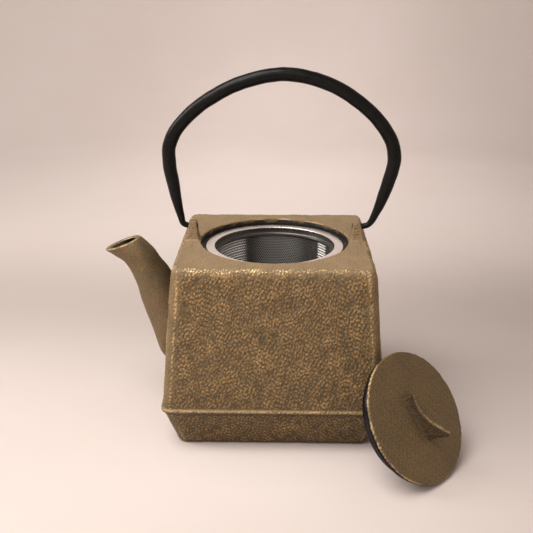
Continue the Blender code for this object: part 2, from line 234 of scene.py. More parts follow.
# ---- materials ----
class Nodes:
    """A node material under construction, with short calls for the nodes used here."""

    def __init__(self, name):
        self.material = bpy.data.materials.new(name)
        self.material.use_nodes = True
        self.tree = self.material.node_tree
        self.shader = self.tree.nodes["Principled BSDF"]
        self.place = self.add("ShaderNodeTexCoord").outputs["Object"]

    def put(self, value, socket):
        """Gives a socket a number, a colour or the output of a node."""
        if isinstance(value, (int, float)):
            socket.default_value = value
        elif isinstance(value, tuple):
            socket.default_value = (*value, 1.0)
        else:
            self.tree.links.new(value, socket)

    def add(self, kind, inputs=None, **settings):
        """A new node with some of its settings and inputs."""
        node = self.tree.nodes.new(kind)
        for key, value in settings.items():
            setattr(node, key, value)
        for key, value in (inputs or {}).items():
            self.put(value, node.inputs[key])
        return node

    def mask(self, label):
        """A float attribute of the mesh's points."""
        return self.add("ShaderNodeAttribute", attribute_name=label).outputs["Fac"]

    def level(self):
        """Height in metres."""
        return self.add("ShaderNodeSeparateXYZ", {"Vector": self.place}).outputs["Z"]

    def noise(self, scale, detail=3.0, roughness=0.55, distortion=0.0):
        """Cloudy noise from 0 to 1, scale cells to the metre."""
        inputs = {"Vector": self.place, "Scale": scale, "Detail": detail, "Roughness": roughness,
                  "Distortion": distortion}
        return self.add("ShaderNodeTexNoise", inputs).outputs["Fac"]

    def remap(self, value, low, high, to_low=0.0, to_high=1.0):
        """The value moved from one range to another, held at its ends."""
        inputs = {"Value": value, "From Min": low, "From Max": high, "To Min": to_low, "To Max": to_high}
        return self.add("ShaderNodeMapRange", inputs).outputs["Result"]

    def math(self, operation, first, second=0.0):
        """One math node; each operand is a number or an output."""
        return self.add("ShaderNodeMath", {0: first, 1: second}, operation=operation).outputs[0]

    def mix(self, share, first, second, blend="MIX"):
        """A share of the second colour over the first."""
        inputs = {0: share, 6: first, 7: second}
        return self.add("ShaderNodeMix", inputs, data_type="RGBA", blend_type=blend).outputs[2]

    def tilted_up(self, share):
        """The surface normal, leaned towards +Z by a share of its length."""
        normal = self.add("ShaderNodeNewGeometry").outputs["Normal"]
        lift = self.add("ShaderNodeCombineXYZ", {"Z": share}).outputs["Vector"]
        total = self.add("ShaderNodeVectorMath", {0: normal, 1: lift}, operation="ADD")
        inputs = {0: total.outputs["Vector"]}
        return self.add("ShaderNodeVectorMath", inputs, operation="NORMALIZE").outputs["Vector"]

    def bump(self, height, distance):
        """The normal of a surface raised by height times distance."""
        inputs = {"Height": height, "Distance": distance, "Strength": 1.0}
        return self.add("ShaderNodeBump", inputs).outputs["Normal"]

    def finish(self, **inputs):
        """Sets the shader's sockets by name, underscores for spaces."""
        for key, value in inputs.items():
            self.put(value, self.shader.inputs[key.replace("_", " ")])
        return self.material


# Colours of the cast iron's bronze paint, of its worn spots, of the enamel inside and of painted shade.
CREVICE = (0.076, 0.054, 0.027)
BRONZE = (0.178, 0.126, 0.063)
RAISED = (0.450, 0.250, 0.064)
DUST = (0.400, 0.298, 0.190)
GOLD = (0.740, 0.530, 0.270)
ENAMEL = (0.012, 0.011, 0.010)
SHADE = (0.42, 0.40, 0.38)      # what painted shade and the darkening towards the pot's bottom leave of a colour
SUNNY = (1.28, 1.22, 1.10)      # what the paler clouds of the paint add to it


def cast_iron(name, painted_light_tone=1.0):
    """Bronze painted iron: dark crevices, warm raised parts, gold where worn, enamel inside; a tone below 1
    makes a darker copy for painted shade.
    """
    n = Nodes(name)
    wear, enamel = n.mask("wear"), n.mask("enamel")
    speck = n.noise(1500.0, 2.0)
    crevice, bronze, raised = [tuple(painted_light_tone * c for c in colour) for colour in (CREVICE, BRONZE, RAISED)]
    colour = bronze_paint(n, crevice, bronze, raised)
    colour = n.mix(n.remap(speck, 0.57, 0.70, 0.0, 0.45), colour, raised)
    colour = n.mix(n.remap(speck, 0.42, 0.30, 0.0, 0.7), colour, crevice)
    worn = n.math("MULTIPLY", wear, n.remap(speck, 0.35, 0.6, 0.65, 1.0))
    colour = n.mix(worn, colour, GOLD)
    # Painted shade: darker under the bead, on the spout near the pot, along the lid's fin and on its sides;
    # also darker towards the pot's bottom.
    colour = n.mix(n.mask("painted_shade_and_darkening"), colour, n.mix(1.0, colour, SHADE, "MULTIPLY"))
    colour = n.mix(enamel, colour, ENAMEL)
    rough = n.math("SUBTRACT", n.remap(worn, 0.0, 1.0, 0.56, 0.34), n.math("MULTIPLY", enamel, 0.22))
    metal = n.math("SUBTRACT", n.remap(worn, 0.0, 1.0, 0.30, 0.85), n.math("MULTIPLY", enamel, 0.30))
    height = n.math("ADD", speck, n.math("MULTIPLY", n.noise(520.0, 3.0), 1.5))
    return n.finish(Base_Color=colour, Roughness=rough, Metallic=metal, Normal=n.bump(height, 0.16 * MM))


def bronze_paint(n, crevice, bronze, raised):
    """Colour of the paint by relief, with veined strokes on the raised parts, clouds and dust."""
    relief, cloud = n.mask("relief"), n.noise(70.0, 4.0)
    colour = n.mix(n.remap(relief, 0.0, 0.42), crevice, bronze)
    vein = n.math("ABSOLUTE", n.math("SUBTRACT", n.noise(620.0, 1.0, 0.4, 0.4), 0.5))
    fine = n.math("MULTIPLY", n.remap(vein, 0.0, 0.11, 1.0, 0.25), n.remap(cloud, 0.30, 0.70, 0.75, 1.0))
    strokes = n.math("MULTIPLY", n.remap(relief, 0.46, 0.84), fine)
    colour = n.mix(strokes, colour, raised)
    colour = n.mix(n.remap(cloud, 0.3, 0.7), colour, n.mix(1.0, colour, SUNNY, "MULTIPLY"))
    dusty = n.math("MULTIPLY", n.mask("dust"), n.remap(cloud, 0.25, 0.75, 0.7, 1.0))
    return n.mix(dusty, colour, DUST)


def black_paint(name):
    """Satin black paint, faintly clouded, with a little orange peel."""
    n = Nodes(name)
    peel = n.noise(900.0, 3.0)
    colour = n.mix(n.remap(n.noise(160.0, 4.0), 0.35, 0.75), (0.003, 0.003, 0.003), (0.007, 0.0065, 0.006))
    return n.finish(Base_Color=colour, Roughness=n.remap(peel, 0.3, 0.7, 0.26, 0.36),
                    Normal=n.bump(peel, 0.04 * MM), Metallic=0.0, Specular_IOR_Level=0.16)


def enamel_black(name):
    """Glossy black enamel, faintly uneven."""
    n = Nodes(name)
    peel = n.noise(420.0, 3.0)
    colour = n.mix(n.remap(n.noise(120.0, 3.0), 0.4, 0.8), (0.004, 0.004, 0.0045), (0.012, 0.011, 0.010))
    return n.finish(Base_Color=colour, Roughness=n.remap(peel, 0.3, 0.7, 0.16, 0.24),
                    Normal=n.bump(peel, 0.02 * MM), Metallic=0.0, Specular_IOR_Level=0.14)


def polished_steel(name):
    """Pressed stainless sheet with a little haze, with painted shade inside the collar below the flange."""
    n = Nodes(name)
    haze, collar_shade = n.noise(300.0, 4.0), n.mask("collar_shade")
    colour = n.mix(n.remap(haze, 0.3, 0.7), (0.86, 0.82, 0.79), (0.93, 0.90, 0.87))
    colour = n.mix(collar_shade, colour, (0.10, 0.095, 0.09))
    rough = n.math("ADD", n.remap(haze, 0.3, 0.7, 0.20, 0.28), n.math("MULTIPLY", collar_shade, 0.1))
    return n.finish(Base_Color=colour, Roughness=rough, Metallic=0.85)


def mesh_steel(name):
    """Fine stainless mesh, hazy, with a painted highlight at the back and two painted reflections in level
    stripes.
    """
    n = Nodes(name)
    haze, patch = n.noise(500.0, 3.0), n.mask("painted_highlights")
    wave = n.math("SINE", n.math("MULTIPLY", n.level(), 2 * math.pi / STRIPE))
    stripe = n.math("MULTIPLY", patch, n.remap(wave, -0.7, 0.2))
    colour = n.mix(n.remap(haze, 0.3, 0.7), (0.12, 0.11, 0.10), (0.18, 0.17, 0.16))
    # Painted highlight at the back, painted reflections in stripes at the sides.
    colour = n.mix(n.mask("back_highlight"), colour, (0.55, 0.54, 0.52))
    colour = n.mix(stripe, colour, (0.97, 0.96, 0.94))
    return n.finish(Base_Color=colour, Roughness=n.remap(haze, 0.3, 0.7, 0.34, 0.46),
                    Metallic=n.remap(patch, 0.0, 1.0, 0.6, 0.1), Normal=n.tilted_up(stripe))


# ---- pot casting ----
def square_outline(half, corner):
    """(x, y) of the grid's columns round a square with rounded corners, anticlockwise."""
    side = np.linspace(-1, 1, SIDE_COLUMNS + 1)[:-1] * (half - corner)
    turn = np.linspace(0, math.pi / 2, CORNER_COLUMNS + 1)[:-1]
    quarter = np.vstack([np.column_stack([np.full(SIDE_COLUMNS, half), side]),
                         half - corner + corner * np.column_stack([np.cos(turn), np.sin(turn)])])
    quarters = [quarter]
    for _ in range(3):
        x, y = quarters[-1].T
        quarters.append(np.column_stack([-y, x]))
    return np.vstack(quarters)


BEARING = np.arctan2(*square_outline(TOP_HALF, CORNER_R).T[::-1])


def round_outline(radius):
    """(x, y) of the same columns round a circle."""
    return radius * np.column_stack([np.cos(BEARING), np.sin(BEARING)])


def half_width(z):
    """Half the pot's width at a height, from the middle to a flat side."""
    if z >= RIDGE_Z:
        return RIDGE_HALF + (TOP_HALF - RIDGE_HALF) * (z - RIDGE_Z) / (TOP_Z - RIDGE_Z)
    return BASE_HALF + (RIDGE_HALF - BASE_HALF) * z / RIDGE_Z


class Levels:
    """Rows of the pot's grid, each an (outline, height, part), added along its skin."""

    def __init__(self):
        self.rows = []

    def squares(self, profile, part, corner=lambda half: CORNER_R):
        """A row for each (half width, height), with a corner radius from its half width."""
        for half, z in profile:
            self.rows.append((square_outline(half, min(corner(half), 0.9 * half)), z, part))

    def rounds(self, profile, part):
        """A row for each (radius, height)."""
        self.rows.extend((round_outline(radius), z, part) for radius, z in profile)

    def blend(self, first, last, shares, z, part):
        """Level rows from one outline to another."""
        self.rows.extend((first + (last - first) * share, z, part) for share in shares)


def pot_levels():
    """All rows: under the foot, up the outside, over the top face and down the inside."""
    levels = Levels()
    foot_levels(levels)
    wall_levels(levels)
    top_levels(levels)
    inside_levels(levels)
    return levels.rows


def foot_levels(levels):
    """Underside with a sunk middle panel, and the rounded foot."""
    foot = BASE_HALF - BASE_EDGE_R
    panel, sunk = foot - 5.0 * MM, 0.7 * MM
    edge = panel + 1.0 * MM
    levels.squares(spaced((2.0 * MM, sunk), (panel, sunk), 5.0 * MM), "under", lambda half: 0.3 * half)
    levels.squares(spaced((panel, sunk), (edge, 0.0), 0.4 * MM), "under")
    levels.squares(spaced((edge, 0.0), (foot, 0.0), 1.2 * MM), "under")
    levels.squares(arc((foot, BASE_EDGE_R), BASE_EDGE_R, -90, -8, 7), "foot",
                   lambda half: CORNER_R + (half - BASE_HALF) / 2)


def wall_levels(levels):
    """Taper below the bead, the bead, the wall above it and the rounded upper edge."""
    start, shoulder = BASE_EDGE_R * 0.95, TOP_Z - TOP_EDGE_R
    low, high = RIDGE_Z - BEAD_R - 0.3 * MM, RIDGE_Z + BEAD_R + 0.2 * MM
    levels.squares(spaced((half_width(start), start), (half_width(low), low), WALL_STEP), "taper")
    levels.squares(arc((RIDGE_HALF - BEAD_SINK, RIDGE_Z), BEAD_R, -76, 80, 11), "bead",
                   lambda half: CORNER_R + half - RIDGE_HALF)
    levels.squares(spaced((half_width(high), high), (half_width(shoulder), shoulder), WALL_STEP), "wall")
    levels.squares(arc((TOP_HALF - TOP_EDGE_R, shoulder), TOP_EDGE_R, 6, 90, 9), "edge",
                   lambda half: CORNER_R + half - TOP_HALF)


def top_levels(levels):
    """Top face, from its square outline to the round mouth, and the mouth's lip."""
    flat = square_outline(TOP_HALF - TOP_EDGE_R, CORNER_R - TOP_EDGE_R)
    mouth = round_outline(MOUTH_R + LIP_R)
    levels.blend(flat, mouth, np.linspace(0, 1, 40)[1:], TOP_Z, "top")
    levels.rounds(arc((MOUTH_R + LIP_R, TOP_Z - LIP_R), LIP_R, 100, 180, 5), "lip")


def inside_levels(levels):
    """Seat of the infuser, throat, ceiling, walls and floor of the cavity."""
    seat, roof, run = TOP_Z - SEAT_DEPTH, TOP_Z - ROOF, CAVITY_R
    levels.rounds(spaced((MOUTH_R, TOP_Z - 1.2 * LIP_R), (MOUTH_R, seat), 0.5 * MM), "inside")
    levels.rounds(spaced((MOUTH_R, seat), (THROAT_R, seat), 1.5 * MM), "inside")
    levels.rounds(spaced((THROAT_R, seat), (THROAT_R, roof), 1.4 * MM), "inside")
    inner, corner = half_width(roof) - WALL, 2 * CORNER_R
    ceiling = square_outline(inner - run, corner - 0.7 * run)
    levels.blend(round_outline(THROAT_R), ceiling, np.linspace(0, 1, 6), roof, "inside")
    levels.squares(arc((inner - run, roof - run), run, 75, 0, 5), "inside",
                   lambda half: corner - 0.5 * (inner - half))
    widest = (RIDGE_HALF - WALL, RIDGE_Z)
    levels.squares(spaced((half_width(roof - run) - WALL, roof - 1.2 * run), widest, 1.5 * MM), "inside",
                   lambda half: corner)
    low = half_width(WALL + run) - WALL
    levels.squares(spaced(widest, (low, WALL + run), 4.0 * MM), "inside", lambda half: corner)
    levels.squares(arc((low - run, WALL + run), run, 0, -90, 6), "inside",
                   lambda half: corner - 0.5 * (low - half))
    levels.squares(spaced((low - run, WALL), (2.0 * MM, WALL), 6.0 * MM)[1:], "inside",
                   lambda half: 0.25 * half)


def pot_grid():
    """The pot's smooth grid, with where its rows and columns lie."""
    levels = pot_levels()
    grid = SimpleNamespace()
    grid.points = np.array([np.column_stack([outline, np.full(AROUND, z)]) for outline, z, _ in levels])
    grid.z = grid.points[..., 2]
    parts = np.array([part for _, _, part in levels])
    grid.row = {part: (parts == part)[:, None] * 1.0 for part in set(parts)}
    grid.outside = 1 - grid.row["inside"] - grid.row["under"]
    column = np.arange(AROUND) % (SIDE_COLUMNS + CORNER_COLUMNS)
    grid.bend = (column - SIDE_COLUMNS) / CORNER_COLUMNS      # 0 to 1 round an edge, else below 0
    off_corner = np.where(grid.bend < 0, np.minimum(column, SIDE_COLUMNS - column) / 4.0, 0.0)
    grid.plain = 1 - smoothstep(0.0, 1.0, off_corner)
    return grid


def add_pot_noise(grid):
    """Noises of several lengths on the grid, and where the pebbled strokes stand."""
    turn = np.broadcast_to(np.arange(AROUND) / AROUND, grid.z.shape)
    steps = np.linalg.norm(np.diff(grid.points[:, 0], axis=0), axis=1)
    reach = np.cumsum(np.r_[0, steps])[:, None]

    def wall_noise(wavelength, seed):
        return wall_ripples(turn, reach, 8 * RIDGE_HALF, wavelength, seed)

    grid.strokes = wall_noise(PEBBLE_LENGTH, 3)
    grid.flakes = wall_noise(0.9 * PEBBLE_LENGTH, 8)
    grid.breaks = wall_noise(3.1 * PEBBLE_LENGTH, 4)
    grid.broken = wall_noise(1.3 * MM, 5)
    grid.slow = wall_noise(14 * MM, 6)
    grid.grain = ripples(grid.points, GRAIN_LENGTH, 7)
    grid.raised = smoothstep(-0.15, 1.25, grid.strokes + 0.30 * grid.breaks + 0.15 * grid.slow)

    under_top = smoothstep(0.3 * MM, 2.2 * MM, TOP_Z - TOP_EDGE_R - grid.z)
    over_bead = smoothstep(0.2 * MM, 1.2 * MM, np.abs(grid.z - RIDGE_Z) - BEAD_R)
    over_foot = smoothstep(0.5 * MM, 2.0 * MM, grid.z - BASE_EDGE_R / 2)
    walls = grid.row["wall"] * under_top + grid.row["taper"] * over_foot
    grid.pebbled = walls * over_bead * (1 - 0.85 * grid.plain)


def pot_lift(grid):
    """How far each point of the pot's grid stands out from the smooth shape."""
    row, plain, pebbled = grid.row, grid.plain, grid.pebbled
    lift = PEBBLE_HEIGHT * grid.raised * pebbled
    lift += GRAIN_HEIGHT * grid.grain * grid.outside * (1 - 0.6 * pebbled)
    lift += FLAKE_HEIGHT * grid.broken * (row["edge"] + 0.6 * row["bead"] + 0.8 * plain * row["wall"])
    uneven = row["wall"] + row["taper"] + row["edge"] + row["bead"] + row["top"] * 0.6
    lift += WOBBLE_HEIGHT * grid.slow * uneven
    reach_out = np.abs(grid.points[..., :2]).max(axis=-1)
    shoulder = smoothstep(7 * MM, 1 * MM, TOP_Z - grid.z) * (row["wall"] + row["edge"])
    lift -= SHOULDER_SINK * shoulder * smoothstep(TOP_HALF - 2.4 * MM, TOP_HALF - 1.2 * MM, reach_out)
    return lift


def pot_wear(grid):
    """Where the paint is rubbed to gold: bead, upright edges, upper edge, lip, highest pebbles."""
    row, slow = grid.row, grid.slow
    crest = 0.72 * bump(0.0, 0.45 * BEAD_R, grid.z - RIDGE_Z - 0.45 * MM) * row["bead"]
    lines = bump(0.0, 0.10, np.abs(grid.bend - 0.5) - 0.42) * (grid.bend >= 0)
    sides = (lines + 0.14 * grid.plain) * (row["wall"] + 0.7 * row["taper"] + row["edge"])
    upper = row["edge"] + row["wall"] * bump(0.0, 1.2 * MM, TOP_Z - TOP_EDGE_R - grid.z)
    wear = crest * smoothstep(-1.6, 0.5, grid.broken + 0.4 * grid.breaks)
    wear = np.maximum(wear, sides * smoothstep(-0.4, 1.0, grid.flakes + 0.6 * slow))
    wear = np.maximum(wear, 0.9 * upper * smoothstep(0.5, 1.6, grid.flakes + 0.5 * slow))
    wear = np.maximum(wear, 0.55 * row["lip"] * smoothstep(0.0, 1.0, grid.broken + slow))
    wear = np.maximum(wear, 0.3 * smoothstep(1.5, 2.6, grid.strokes + 0.5 * slow) * grid.pebbled)
    return np.clip(wear, 0, 1)


def pot_masks(grid):
    """Masks that the pot's paint is coloured by."""
    row, z = grid.row, grid.z
    depth = (TOP_Z - z) / (2.2 * MM)
    enamel = row["inside"] * smoothstep(0.2, 0.6, depth + 0.25 * grid.broken + 0.3 * grid.slow)
    contrast = 0.75 + 0.5 * row["taper"]
    relief = 0.30 + 0.10 * grid.grain + contrast * (grid.raised - 0.35) * grid.pebbled
    relief = np.clip(relief, 0.0, 1.0) + 0.14 * row["top"]
    dust = 0.42 * row["top"] + 0.12 * row["edge"] + 0.06 * grid.grain * row["top"]
    # Painted shade in a band under the bead.
    painted_shade_under_bead = bump(RIDGE_Z - BEAD_R, 1.1 * MM, z) * (1 - row["inside"])
    # Also darker towards the bottom of the outside.
    painted_shade_and_darkening = painted_shade_under_bead + 0.62 * (1 - smoothstep(0.0, 2.2 * RIDGE_Z, z)) * grid.outside
    return {"relief": relief, "wear": pot_wear(grid), "enamel": enamel, "painted_shade_and_darkening": np.clip(painted_shade_and_darkening, 0, 1),
            "dust": np.clip(dust, 0, 1)}


def pot_casting():
    """The hollow body, one closed skin over its outside and its inside."""
    grid = pot_grid()
    add_pot_noise(grid)
    points = grid.points + grid_normals(grid.points) * pot_lift(grid)[..., None]
    points[..., 2] = np.maximum(points[..., 2], 0.0)
    body = skin("pot_casting", points, pot_masks(grid))
    body.data.materials.append(cast_iron("cast_bronze"))
    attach(body, "pot")
    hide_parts("pot_body")


# ---- spout ----
# Lowest and highest outline point (x, z) and half width of each section, pot to mouth.
SPOUT = [((-0.0560, 0.0240), (-0.0520, 0.0700), 0.0150),
         ((-0.0652, 0.0300), (-0.0575, 0.0778), 0.0140),
         ((-0.0709, 0.0470), (-0.0612, 0.0838), 0.0123),
         ((-0.0758, 0.0620), (-0.0652, 0.0892), 0.0108),
         ((-0.0797, 0.0765), (-0.0684, 0.0940), 0.0097),
         ((-0.0846, 0.0860), (-0.0714, 0.0974), 0.0090),
         ((-0.0905, 0.0906), (-0.0738, 0.0997), 0.0085),
         ((-0.0957, 0.0938), (-0.0758, 0.1013), 0.0082)]
# Rim of the mouth: how far each ring is drawn in and raised, in millimetres.
SPOUT_RIM = [(0.2, 0.25), (0.6, 0.36), (1.1, 0.38), (1.7, 0.36), (2.3, 0.30), (2.65, 0.1)]
MOUTH_FACING = np.array([-0.35, 0, 0.93])
SPOUT_WALL = 2.8 * MM
SPOUT_COLUMNS = 150
FILLET_HEIGHT = 1.0 * MM     # where the spout runs into the pot's wall
FILLET_REACH = 0.8 * MM


def smooth_path(values, count):
    """Catmull-Rom curve through rows of values, count rows long."""
    values = np.array(values, dtype=float)
    padded = np.vstack([2 * values[0] - values[1], values, 2 * values[-1] - values[-2]])
    result = []
    for t in np.linspace(0, len(values) - 1, count):
        i = min(int(t), len(values) - 2)
        a, b, c, d = padded[i:i + 4]
        s = t - i
        result.append(0.5 * (2 * b + (c - a) * s + (2 * a - 5 * b + 4 * c - d) * s ** 2
                             + (3 * b - a - 3 * c + d) * s ** 3))
    return np.array(result)


def spout_rows(sections, shrink):
    """Rings round the spout, each an ellipse drawn in by shrink."""
    angle = np.linspace(0, 2 * math.pi, SPOUT_COLUMNS, endpoint=False)
    rings = []
    for low_x, low_z, high_x, high_z, half in sections:
        low, high = np.array([low_x, 0, low_z]), np.array([high_x, 0, high_z])
        middle, along = (low + high) / 2, (high - low) / 2
        size = np.linalg.norm(along)
        along = along * (size - shrink) / size
        across = np.array([0, half - shrink, 0])
        rings.append(middle + np.outer(np.cos(angle), along) + np.outer(np.sin(angle), across))
    return np.array(rings)


def wall_distance(points):
    """How far points lie outside the pot's spout-side wall."""
    lean = math.atan2(RIDGE_HALF - TOP_HALF, TOP_Z - RIDGE_Z)
    off = -points[..., 0] - RIDGE_HALF + (points[..., 2] - RIDGE_Z) * math.tan(lean)
    return off * math.cos(lean)


def spout_grid():
    """Rings up the spout, over its rim and down its bore; also the counts up to the rim and the bore."""
    flat = [(*low, *high, half) for low, high, half in SPOUT]
    sections = smooth_path(flat, 180)
    outer = spout_rows(sections, 0.0)
    fillet = FILLET_HEIGHT * np.exp(-np.maximum(wall_distance(outer), 0) / FILLET_REACH)
    outer = outer + grid_normals(outer) * fillet[..., None]
    rim = [spout_rows([sections[-1]], inset * MM)[0] + MOUTH_FACING * (rise * MM)
           for inset, rise in SPOUT_RIM]
    bore = spout_rows(sections[::-4], SPOUT_WALL)
    return np.vstack([outer, np.array(rim), bore]), len(outer), len(outer) + len(rim)


def spout():
    """The bored spout, worn to gold on its rim, with painted shade on its upper side towards the pot."""
    points, mouth, inner = spout_grid()
    index = np.arange(len(points))[:, None]
    outside = (index < inner) * 1.0
    grain = ripples(points, GRAIN_LENGTH, 17)
    slow = ripples(points, 9 * MM, 18)
    lift = (0.4 * GRAIN_HEIGHT * grain + 0.05 * MM * slow) * outside
    points = points + grid_normals(points) * lift[..., None]
    lip = bump(mouth, 1.4, index) + 0.8 * bump(inner - 1, 0.8, index)
    upper = np.maximum(np.cos(np.linspace(0, 2 * math.pi, SPOUT_COLUMNS, endpoint=False)), 0)
    masks = {"relief": 0.33 + 0.06 * grain,
             # Painted shade on the spout's upper side, close to the pot's wall.
             "painted_shade_and_darkening": 0.95 * upper * smoothstep(34 * MM, 2 * MM, wall_distance(points)),
             "wear": lip * smoothstep(-1.4, 0.8, grain + slow) * 0.8,
             "enamel": np.broadcast_to((index >= inner + 1) * 1.0, slow.shape)}
    piece = skin("spout_casting", points, masks, joined_ends=True)
    # A darker copy of the bronze for painted shade on the spout.
    piece.data.materials.append(cast_iron("cast_bronze_spout", 0.82))
    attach(piece, "pot")
    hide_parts("spout")


# ---- lugs ----
LUG_CREST_SHARE = (0.55, 0.50)       # width and length of the crest against the foot
LUG_LEAN = 0.5 * MM                  # the crest lies this much nearer the middle
LUG_EDGE_R = 0.9 * MM
LUG_HOLE_R = 1.75 * MM


def rectangle_outline(half_x, half_y, radius, side_steps=14, corner_steps=4):
    """Evenly spaced points round a rectangle with rounded corners, anticlockwise."""
    ring = []
    for quarter in range(4):
        facing = quarter * math.pi / 2
        out, along = (half_x, half_y) if quarter % 2 == 0 else (half_y, half_x)
        flat = [(out, t * (along - radius)) for t in np.linspace(-1, 1, side_steps)]
        bend = [(out - radius + radius * math.cos(a), along - radius + radius * math.sin(a))
                for a in np.linspace(0, math.pi / 2, corner_steps + 2)[1:-1]]
        ring += [(u * math.cos(facing) - v * math.sin(facing), u * math.sin(facing) + v * math.cos(facing))
                 for u, v in flat + bend]
    return np.array(ring)


def lug_grid(size, middle, height, side):
    """Rings of a lug from just inside the pot to its rounded crest."""
    edge_z = height - LUG_EDGE_R
    crest = edge_z + LUG_EDGE_R * np.sin(np.linspace(0.12, math.pi / 2, 12))
    rows = []
    for z in np.r_[np.linspace(-0.6 * MM, edge_z, 34), crest]:
        share = np.clip(z / height, 0, 1)
        flare = 0.7 * MM * math.exp(-max(z, 0) / (0.5 * MM))
        over = max(0.0, z - edge_z) / LUG_EDGE_R
        inset = LUG_EDGE_R * (1 - math.sqrt(max(0.0, 1 - over ** 2)))
        half_x = size.x / 2 * (1 - (1 - LUG_CREST_SHARE[0]) * share) - inset + flare
        half_y = size.y / 2 * (1 - (1 - LUG_CREST_SHARE[1]) * share) - inset + flare
        centre = np.array([middle.x - side * LUG_LEAN * share, middle.y])
        ring = centre + rectangle_outline(half_x, half_y, min(0.9 * MM, 0.8 * min(half_x, half_y)))
        rows.append(np.column_stack([ring, np.full(len(ring), TOP_Z + z)]))
    return np.array(rows)


def drill(piece, x):
    """Cuts the handle's hole through a lug that stands at x."""
    bore = bmesh.new()
    matrix = Matrix.Translation((x, 0, HINGE.z)) @ Matrix.Rotation(math.pi / 2, 4, "Y")
    bmesh.ops.create_cone(bore, cap_ends=True, segments=40, radius1=LUG_HOLE_R, radius2=LUG_HOLE_R,
                          depth=30 * MM, matrix=matrix)
    tool_mesh = bpy.data.meshes.new("bore")
    bore.to_mesh(tool_mesh)
    bore.free()
    tool = bpy.data.objects.new("bore", tool_mesh)
    bpy.context.scene.collection.objects.link(tool)
    cut = piece.modifiers.new("bore", "BOOLEAN")
    cut.operation = "DIFFERENCE"
    cut.object = tool
    bake_modifiers(piece)
    bpy.data.objects.remove(tool)


def lug(name, side):
    """One bored lug on the top face; side is -1 by the spout and 1 opposite."""
    low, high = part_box(name)
    middle, size = (low + high) / 2, high - low
    points = lug_grid(size, middle, high.z - TOP_Z, side)
    grain = ripples(points, GRAIN_LENGTH, 23)
    slow = ripples(points, 4 * MM, 24)
    points = points + grid_normals(points) * (GRAIN_HEIGHT * grain + 0.04 * MM * slow)[..., None]
    facing = np.abs(grid_normals(points))
    edges = smoothstep(0.55, 0.75, 1 - facing.max(axis=-1) + 0.25)
    masks = {"relief": 0.38 + 0.13 * grain, "enamel": np.zeros_like(slow), "dust": 0.3 + 0.05 * grain,
             "wear": np.clip(edges * smoothstep(-0.4, 1.2, slow + 0.6 * grain), 0, 1) * 0.6}
    piece = skin(name + "_casting", points, masks)
    # A darker copy of the bronze for painted shade on the lug.
    piece.data.materials.append(cast_iron("cast_bronze_" + name, 0.92))
    drill(piece, middle.x)
    sharpen(piece, 35)
    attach(piece, "pot")
    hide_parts(name)


# ---- handle ----
def joint(name):
    """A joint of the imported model, by its name."""
    return next(j for j in frame["joints"] if j["name"] == name)


HINGE = Vector(joint("handle_swing")["pos_m"])
# (x, height above the hinge, radius) along the bow, left lug to right lug.
BOW = [(-0.0448, 0.0000, 0.0016), (-0.0486, 0.0000, 0.0016), (-0.0513, 0.0013, 0.0017),
       (-0.0526, 0.0060, 0.0021), (-0.0546, 0.0150, 0.0029), (-0.0560, 0.0235, 0.0035),
       (-0.0577, 0.0340, 0.0037), (-0.0574, 0.0450, 0.0037), (-0.0517, 0.0559, 0.0037),
       (-0.0380, 0.0683, 0.0037), (-0.0180, 0.0787, 0.0037), (0.0057, 0.0832, 0.0037),
       (0.0295, 0.0777, 0.0037), (0.0495, 0.0649, 0.0037), (0.0615, 0.0505, 0.0037),
       (0.0649, 0.0384, 0.0037), (0.0626, 0.0265, 0.0036), (0.0589, 0.0148, 0.0030),
       (0.0558, 0.0070, 0.0022), (0.0528, 0.0014, 0.0017), (0.0492, 0.0000, 0.0016),
       (0.0448, 0.0000, 0.0016)]


def handle():
    """The tapered bow, bent in one plane, with its ends in the lugs' holes."""
    path = smooth_path(BOW, 420)
    centre = np.column_stack([path[:, 0], np.zeros(len(path)), HINGE.z + path[:, 1]])
    ahead = np.gradient(centre, axis=0)
    ahead /= np.linalg.norm(ahead, axis=1, keepdims=True)
    sideways = np.array([0, 1, 0])
    across = np.cross(ahead, sideways)
    angle = np.linspace(0, 2 * math.pi, 48, endpoint=False)[None, :, None]
    ring = np.cos(angle) * across[:, None] + np.sin(angle) * sideways
    points = centre[:, None] + ring * path[:, 2][:, None, None]
    points = points + ring * (0.04 * MM * ripples(points, 7 * MM, 31))[..., None]
    piece = skin("handle_bail", points)
    piece.data.materials.append(black_paint("satin_black"))
    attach(piece, "handle")
    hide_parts("handle_bow")


# ---- infuser ----
RIM_LOW, RIM_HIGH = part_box("infuser_rim")
HEM_LOW, HEM_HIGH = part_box("infuser_hem_ring")
SLEEVE_R = HEM_HIGH.x
COLLAR_R = 34.2 * MM         # inside of the collar below the flange
COLLAR_LIP_R = 33.6 * MM     # the rounded lip between them stands in this far
SHEET = 0.5 * MM
MESH_PITCH = 1.2 * MM
MESH_SHEET = 0.22 * MM
MESH_HOLE = 0.62            # hole width against the cell's
STRIPED_HIGHLIGHTS = ((145.0, 22.0), (32.0, 7.0))    # bearing and half spread of the striped painted reflections
STRIPE = 1.6 * MM           # spacing of the stripes in them
RIM_COLUMNS = 240
HEM_COLUMNS = 180


